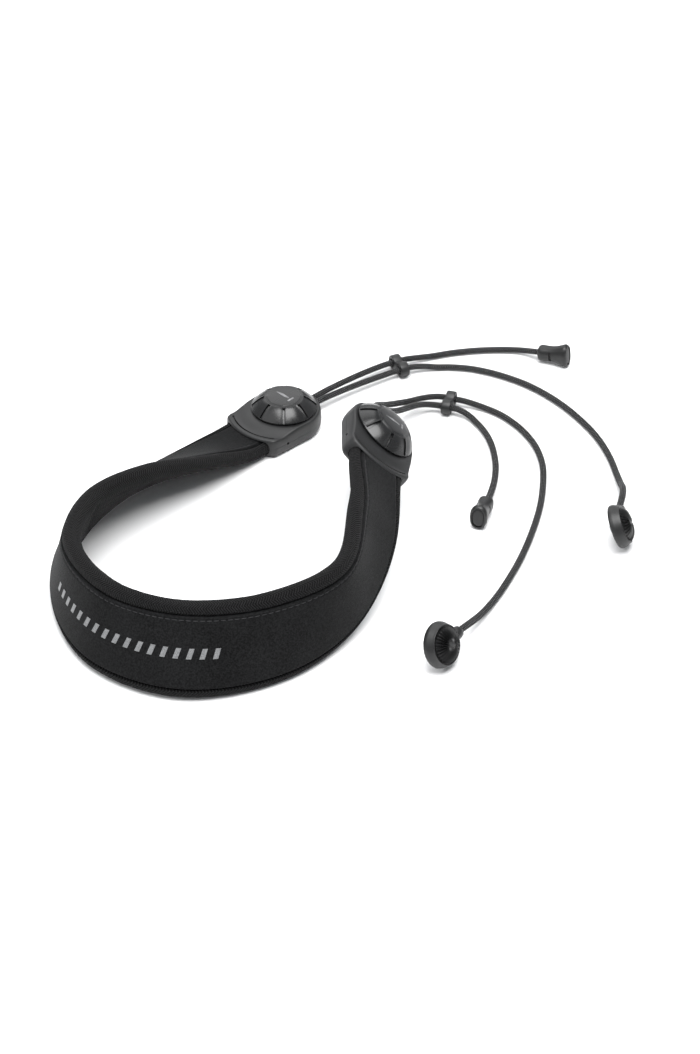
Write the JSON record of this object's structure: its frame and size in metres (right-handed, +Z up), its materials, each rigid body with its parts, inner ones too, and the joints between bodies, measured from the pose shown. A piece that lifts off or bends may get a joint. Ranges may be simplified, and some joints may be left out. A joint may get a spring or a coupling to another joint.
{
  "type": "binocular neck strap",
  "caption": "Padded horseshoe neck strap with dial-locked cord adjusters, figure-8 cord keepers, end caps and round quick-release lug connectors.",
  "frame": {"origin": "centre of the footprint of the strap without its cords, on the surface that it lies on", "axes": "+Z up from that surface; -Y towards the middle of the neck pad's curve, +Y towards the side that the cords leave from; +X towards the cord connectors"},
  "size_m": [0.3092, 0.3191, 0.058],
  "materials": {
    "air_mesh": "knitted spacer mesh, matt",
    "panel_cloth": "smooth jersey on neoprene, matt",
    "foam": "closed-cell foam",
    "webbing": "woven, matt",
    "housing_plastic": "soft-touch, satin",
    "dial_plastic": "moulded, satin",
    "dark_plastic": "moulded, satin",
    "braid": "braided polyester with grey flecks",
    "steel": "turned"
  },
  "bodies": {
    "strap": {"pad_cover": "air_mesh", "pad_foam_core": "foam", "pad_front_panel": "panel_cloth", "pad_webbing": "webbing", "right_housing_base": "housing_plastic", "right_housing_cover": "housing_plastic", "right_case_screw_1": "steel", "right_case_screw_2": "steel", "right_cord_post": "steel", "right_anchor_pin": "steel", "right_held_cord": "braid", "right_lead_cord": "braid", "right_tail_cord": "braid", "right_end_cap": "dark_plastic", "right_end_plug": "dark_plastic", "right_connector_ring": "dark_plastic", "left_housing_base": "housing_plastic", "left_housing_cover": "housing_plastic", "left_case_screw_1": "steel", "left_case_screw_2": "steel", "left_cord_post": "steel", "left_anchor_pin": "steel", "left_held_cord": "braid", "left_lead_cord": "braid", "left_tail_cord": "braid", "left_end_cap": "dark_plastic", "left_end_plug": "dark_plastic", "left_connector_ring": "dark_plastic"},
    "right_dial_body": {"right_dial": "dial_plastic", "right_dial_cap": "dial_plastic", "right_dial_screw": "steel", "right_cam_plate": "steel"},
    "right_jaw_body": {"right_clamp_jaw": "dark_plastic"},
    "right_hub_body": {"right_connector_hub": "dark_plastic", "right_connector_pin": "steel"},
    "right_slider_body": {"right_slider": "dial_plastic"},
    "left_dial_body": {"left_dial": "dial_plastic", "left_dial_cap": "dial_plastic", "left_dial_screw": "steel", "left_cam_plate": "steel"},
    "left_jaw_body": {"left_clamp_jaw": "dark_plastic"},
    "left_hub_body": {"left_connector_hub": "dark_plastic", "left_connector_pin": "steel"},
    "left_slider_body": {"left_slider": "dial_plastic"}
  },
  "joints": [
    {"name": "right_dial_turn", "type": "hinge", "parent": "strap", "child": "right_dial_body", "pos_m": [0.0711, 0.0405, 0.0347], "axis": [0.6449, 0.027, 0.7638], "range_deg": [0, 90]},
    {"name": "right_jaw_slide", "type": "slide", "parent": "strap", "child": "right_jaw_body", "axis": [-0.0297, -0.9977, 0.0603], "range_m": [0, 0.002]},
    {"name": "right_hub_swivel", "type": "hinge", "parent": "strap", "child": "right_hub_body", "pos_m": [0.1048, -0.0989, 0.0111], "axis": [0.7504, -0.5093, 0.4213], "continuous": true},
    {"name": "right_slider_slide", "type": "slide", "parent": "strap", "child": "right_slider_body", "axis": [0.9553, -0.2957, 0], "range_m": [-0.003, 0.003]},
    {"name": "left_dial_turn", "type": "hinge", "parent": "strap", "child": "left_dial_body", "pos_m": [0.0234, 0.11, 0], "axis": [0, 0, 1], "range_deg": [0, 90]},
    {"name": "left_jaw_slide", "type": "slide", "parent": "strap", "child": "left_jaw_body", "axis": [-0.695, -0.719, 0], "range_m": [0, 0.002]},
    {"name": "left_hub_swivel", "type": "hinge", "parent": "strap", "child": "left_hub_body", "pos_m": [0.2022, -0.0013, 0.0112], "axis": [0.9079, -0.078, 0.4119], "continuous": true},
    {"name": "left_slider_slide", "type": "slide", "parent": "strap", "child": "left_slider_body", "axis": [0.8957, 0.4446, 0], "range_m": [-0.003, 0.003]}
  ],
  "couplings": [
    {"joint": "right_dial_turn", "follows": "right_jaw_slide", "rad_per_m": 785},
    {"joint": "left_dial_turn", "follows": "left_jaw_slide", "rad_per_m": 785}
  ]
}
